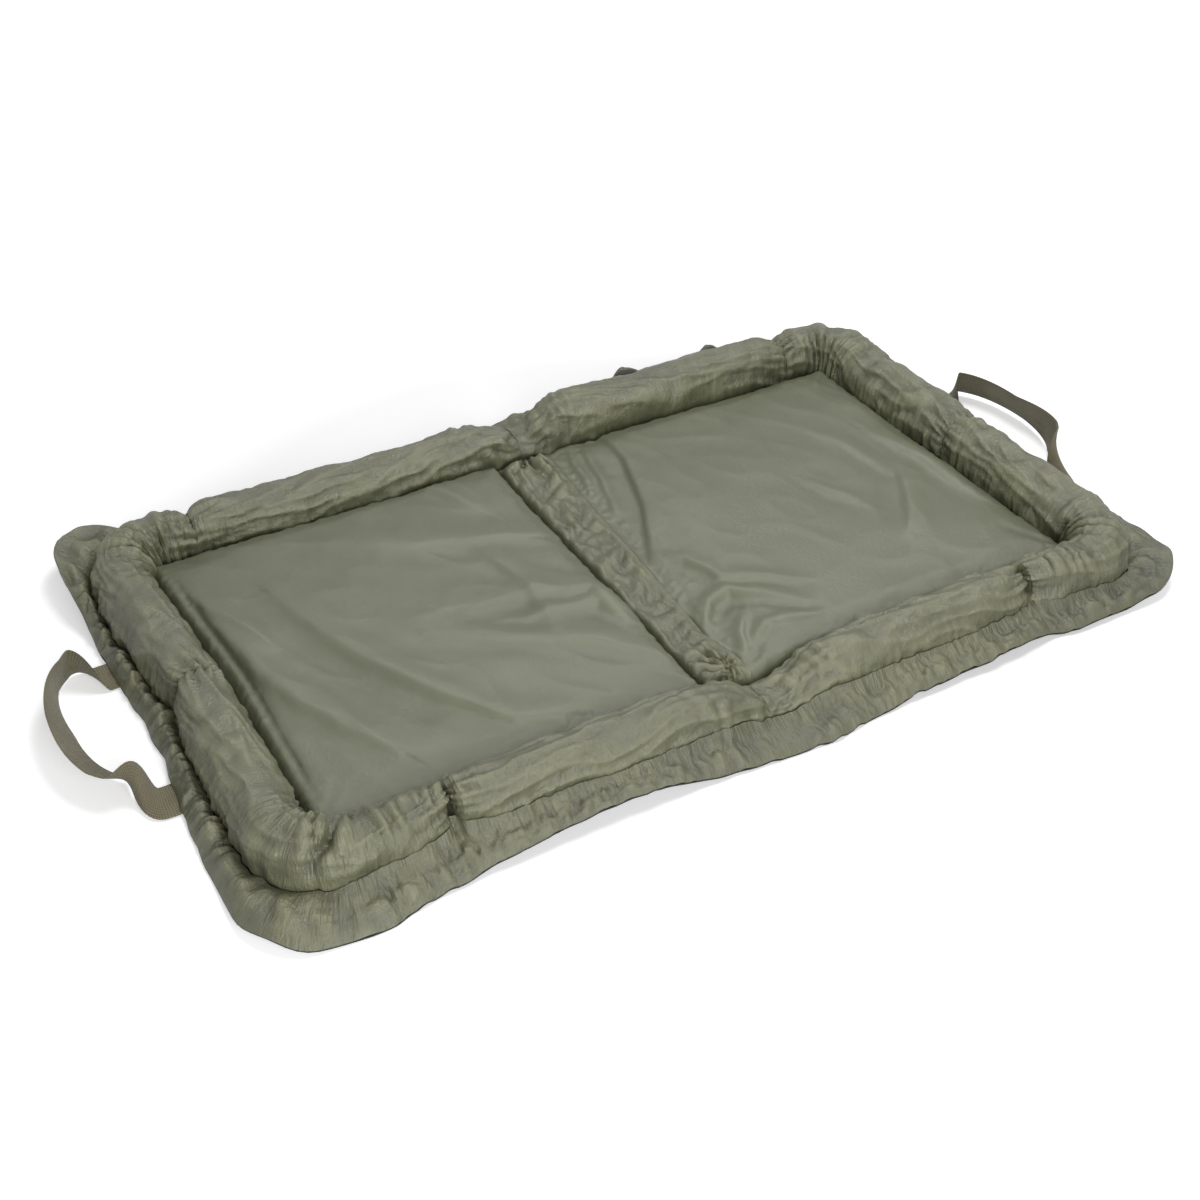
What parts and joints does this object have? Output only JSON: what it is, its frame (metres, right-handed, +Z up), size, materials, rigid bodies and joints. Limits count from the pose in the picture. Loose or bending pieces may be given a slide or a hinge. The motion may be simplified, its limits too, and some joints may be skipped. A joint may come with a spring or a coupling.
{
  "type": "folding unhooking mat",
  "caption": "Padded mat that folds in half, with a stuffed rim round a flat floor, a skirt, a fold strip and webbing carry handles.",
  "frame": {"origin": "on the ground in the middle of the fold strip, under the centre of the open mat", "axes": "+X along the length towards the right half, +Y towards the back edge, +Z up"},
  "size_m": [1.137, 0.6107, 0.0694],
  "materials": {
    "top_fabric": "olive coated nylon, slightly shiny, fine plain weave",
    "skirt_fabric": "olive coated nylon, ruffled to a stitched hem",
    "base_fabric": "dark grey coated base cloth, matt",
    "webbing": "olive brown woven webbing, matt",
    "foam": "pale soft foam, hidden inside the covers"
  },
  "bodies": {
    "left_half": {"left_base_sheet": "base_fabric", "left_floor_pad": "foam", "left_floor_cover": "top_fabric", "left_skirt": "skirt_fabric", "left_front_sleeve": "top_fabric", "left_front_roll": "foam", "left_front_corner_sleeve": "top_fabric", "left_front_corner_roll": "foam", "left_back_corner_sleeve": "top_fabric", "left_back_corner_roll": "foam", "left_back_sleeve": "top_fabric", "left_back_roll": "foam", "left_handle_front_tab": "webbing", "left_handle_back_tab": "webbing"},
    "fold_spine": {"fold_base_sheet": "base_fabric", "fold_strip_pad": "foam", "fold_strip_cover": "top_fabric", "fold_front_slack_sleeve": "top_fabric", "fold_back_slack_sleeve": "top_fabric", "fold_front_skirt": "skirt_fabric", "fold_back_skirt": "skirt_fabric"},
    "right_half": {"right_base_sheet": "base_fabric", "right_floor_pad": "foam", "right_floor_cover": "top_fabric", "right_skirt": "skirt_fabric", "right_front_sleeve": "top_fabric", "right_front_roll": "foam", "right_front_corner_sleeve": "top_fabric", "right_front_corner_roll": "foam", "right_back_corner_sleeve": "top_fabric", "right_back_corner_roll": "foam", "right_back_sleeve": "top_fabric", "right_back_roll": "foam", "right_handle_front_tab": "webbing", "right_handle_back_tab": "webbing"},
    "left_handle": {"left_handle_webbing": "webbing"},
    "right_handle": {"right_handle_webbing": "webbing"}
  },
  "joints": [
    {"name": "fold_left", "type": "hinge", "parent": "left_half", "child": "fold_spine", "pos_m": [-0.035, 0, 0.03638], "axis": [0, -1, 0], "range_deg": [0, 90]},
    {"name": "fold_right", "type": "hinge", "parent": "fold_spine", "child": "right_half", "pos_m": [0.035, 0, 0.03638], "axis": [0, -1, 0], "range_deg": [0, 90]},
    {"name": "left_handle_lift", "type": "hinge", "parent": "left_half", "child": "left_handle", "pos_m": [-0.5021, 0, 0.0021], "axis": [0, 1, 0], "range_deg": [0, 80]},
    {"name": "right_handle_lift", "type": "hinge", "parent": "right_half", "child": "right_handle", "pos_m": [0.5021, 0, 0.0021], "axis": [0, -1, 0], "range_deg": [0, 80]}
  ],
  "couplings": [
    {"joint": "fold_left", "follows": "fold_right", "ratio": 1}
  ]
}
